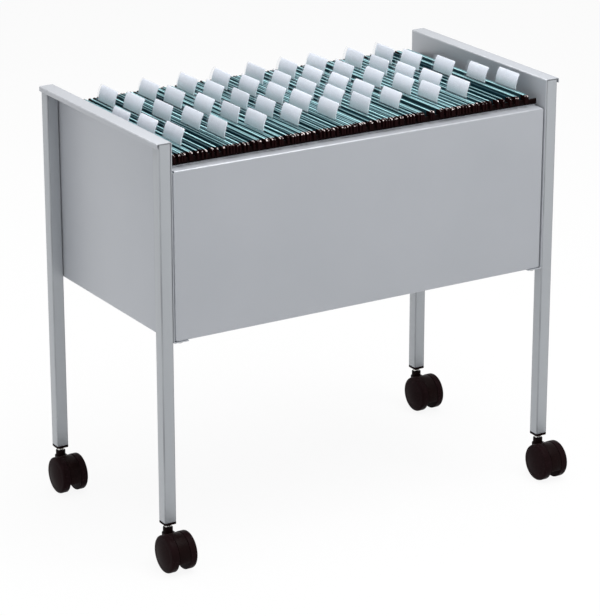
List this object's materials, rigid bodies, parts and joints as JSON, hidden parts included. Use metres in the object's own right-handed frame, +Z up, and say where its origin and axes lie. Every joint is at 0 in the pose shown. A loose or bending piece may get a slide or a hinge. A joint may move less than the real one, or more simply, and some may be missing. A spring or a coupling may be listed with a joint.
{
  "type": "mobile file cart",
  "caption": "Sheet steel bin on square legs and swivel casters, holding a full row of hanging files with leaning index tabs.",
  "frame": {"origin": "on the floor under the middle of the cart's overall footprint, casters included", "axes": "+X along the row of files to the right, +Y from the front panel to the rear, +Z up"},
  "size_m": [0.747, 0.427, 0.677],
  "materials": {
    "silver_paint": "satin silver-grey powder coat",
    "black_plastic": "moulded black",
    "bright_steel": "plated",
    "teal_card": "uncoated card"
  },
  "bodies": {
    "frame": {"leg_front_left": "silver_paint", "leg_front_right": "silver_paint", "leg_rear_left": "silver_paint", "leg_rear_right": "silver_paint", "end_panel_left": "silver_paint", "end_panel_right": "silver_paint", "front_panel": "silver_paint", "rear_panel": "silver_paint", "rail_strip_front": "black_plastic", "rail_strip_rear": "black_plastic", "base_tray": "silver_paint", "leg_plug_front_left": "black_plastic", "leg_plug_front_right": "black_plastic", "leg_plug_rear_left": "black_plastic", "leg_plug_rear_right": "black_plastic", "caster_stem_front_left": "bright_steel", "caster_stem_front_right": "bright_steel", "caster_stem_rear_left": "bright_steel", "caster_stem_rear_right": "bright_steel", "panel_screw_front_left": "bright_steel", "panel_screw_front_right": "bright_steel", "panel_screw_rear_left": "bright_steel", "panel_screw_rear_right": "bright_steel"},
    "caster_front_left": {"caster_hood_front_left": "black_plastic", "caster_axle_front_left": "bright_steel"},
    "wheel_left_front_left": {"caster_wheel_left_front_left": "black_plastic"},
    "wheel_right_front_left": {"caster_wheel_right_front_left": "black_plastic"},
    "caster_front_right": {"caster_hood_front_right": "black_plastic", "caster_axle_front_right": "bright_steel"},
    "wheel_left_front_right": {"caster_wheel_left_front_right": "black_plastic"},
    "wheel_right_front_right": {"caster_wheel_right_front_right": "black_plastic"},
    "caster_rear_left": {"caster_hood_rear_left": "black_plastic", "caster_axle_rear_left": "bright_steel"},
    "wheel_left_rear_left": {"caster_wheel_left_rear_left": "black_plastic"},
    "wheel_right_rear_left": {"caster_wheel_right_rear_left": "black_plastic"},
    "caster_rear_right": {"caster_hood_rear_right": "black_plastic", "caster_axle_rear_right": "bright_steel"},
    "wheel_left_rear_right": {"caster_wheel_left_rear_right": "black_plastic"},
    "wheel_right_rear_right": {"caster_wheel_right_rear_right": "black_plastic"},
    "files_1": {"file_pack_1": "teal_card"},
    "files_2": {"file_pack_2": "teal_card"},
    "files_3": {"file_pack_3": "teal_card"},
    "files_4": {"file_pack_4": "teal_card"},
    "files_5": {"file_pack_5": "teal_card"},
    "files_6": {"file_pack_6": "teal_card"},
    "files_7": {"file_pack_7": "teal_card"},
    "files_8": {"file_pack_8": "teal_card"},
    "files_9": {"file_pack_9": "teal_card"},
    "files_10": {"file_pack_10": "teal_card"},
    "files_11": {"file_pack_11": "teal_card"},
    "files_12": {"file_pack_12": "teal_card"}
  },
  "joints": [
    {"name": "swivel_front_left", "type": "hinge", "parent": "frame", "child": "caster_front_left", "pos_m": [-0.3485, -0.1585, 0.0625], "axis": [0, 0, 1], "continuous": true},
    {"name": "spin_left_front_left", "type": "hinge", "parent": "caster_front_left", "child": "wheel_left_front_left", "pos_m": [-0.3485, -0.1835, 0.03], "axis": [1, 0, 0], "continuous": true},
    {"name": "spin_right_front_left", "type": "hinge", "parent": "caster_front_left", "child": "wheel_right_front_left", "pos_m": [-0.3485, -0.1835, 0.03], "axis": [1, 0, 0], "continuous": true},
    {"name": "swivel_front_right", "type": "hinge", "parent": "frame", "child": "caster_front_right", "pos_m": [0.3485, -0.1585, 0.0625], "axis": [0, 0, 1], "continuous": true},
    {"name": "spin_left_front_right", "type": "hinge", "parent": "caster_front_right", "child": "wheel_left_front_right", "pos_m": [0.3485, -0.1835, 0.03], "axis": [1, 0, 0], "continuous": true},
    {"name": "spin_right_front_right", "type": "hinge", "parent": "caster_front_right", "child": "wheel_right_front_right", "pos_m": [0.3485, -0.1835, 0.03], "axis": [1, 0, 0], "continuous": true},
    {"name": "swivel_rear_left", "type": "hinge", "parent": "frame", "child": "caster_rear_left", "pos_m": [-0.3485, 0.2035, 0.0625], "axis": [0, 0, 1], "continuous": true},
    {"name": "spin_left_rear_left", "type": "hinge", "parent": "caster_rear_left", "child": "wheel_left_rear_left", "pos_m": [-0.3485, 0.1785, 0.03], "axis": [1, 0, 0], "continuous": true},
    {"name": "spin_right_rear_left", "type": "hinge", "parent": "caster_rear_left", "child": "wheel_right_rear_left", "pos_m": [-0.3485, 0.1785, 0.03], "axis": [1, 0, 0], "continuous": true},
    {"name": "swivel_rear_right", "type": "hinge", "parent": "frame", "child": "caster_rear_right", "pos_m": [0.3485, 0.2035, 0.0625], "axis": [0, 0, 1], "continuous": true},
    {"name": "spin_left_rear_right", "type": "hinge", "parent": "caster_rear_right", "child": "wheel_left_rear_right", "pos_m": [0.3485, 0.1785, 0.03], "axis": [1, 0, 0], "continuous": true},
    {"name": "spin_right_rear_right", "type": "hinge", "parent": "caster_rear_right", "child": "wheel_right_rear_right", "pos_m": [0.3485, 0.1785, 0.03], "axis": [1, 0, 0], "continuous": true},
    {"name": "lift_1", "type": "slide", "parent": "frame", "child": "files_1", "axis": [0, 0, 1], "range_m": [0, 0.25]},
    {"name": "lift_2", "type": "slide", "parent": "frame", "child": "files_2", "axis": [0, 0, 1], "range_m": [0, 0.25]},
    {"name": "lift_3", "type": "slide", "parent": "frame", "child": "files_3", "axis": [0, 0, 1], "range_m": [0, 0.25]},
    {"name": "lift_4", "type": "slide", "parent": "frame", "child": "files_4", "axis": [0, 0, 1], "range_m": [0, 0.25]},
    {"name": "lift_5", "type": "slide", "parent": "frame", "child": "files_5", "axis": [0, 0, 1], "range_m": [0, 0.25]},
    {"name": "lift_6", "type": "slide", "parent": "frame", "child": "files_6", "axis": [0, 0, 1], "range_m": [0, 0.25]},
    {"name": "lift_7", "type": "slide", "parent": "frame", "child": "files_7", "axis": [0, 0, 1], "range_m": [0, 0.25]},
    {"name": "lift_8", "type": "slide", "parent": "frame", "child": "files_8", "axis": [0, 0, 1], "range_m": [0, 0.25]},
    {"name": "lift_9", "type": "slide", "parent": "frame", "child": "files_9", "axis": [0, 0, 1], "range_m": [0, 0.25]},
    {"name": "lift_10", "type": "slide", "parent": "frame", "child": "files_10", "axis": [0, 0, 1], "range_m": [0, 0.25]},
    {"name": "lift_11", "type": "slide", "parent": "frame", "child": "files_11", "axis": [0, 0, 1], "range_m": [0, 0.25]},
    {"name": "lift_12", "type": "slide", "parent": "frame", "child": "files_12", "axis": [0, 0, 1], "range_m": [0, 0.25]}
  ]
}
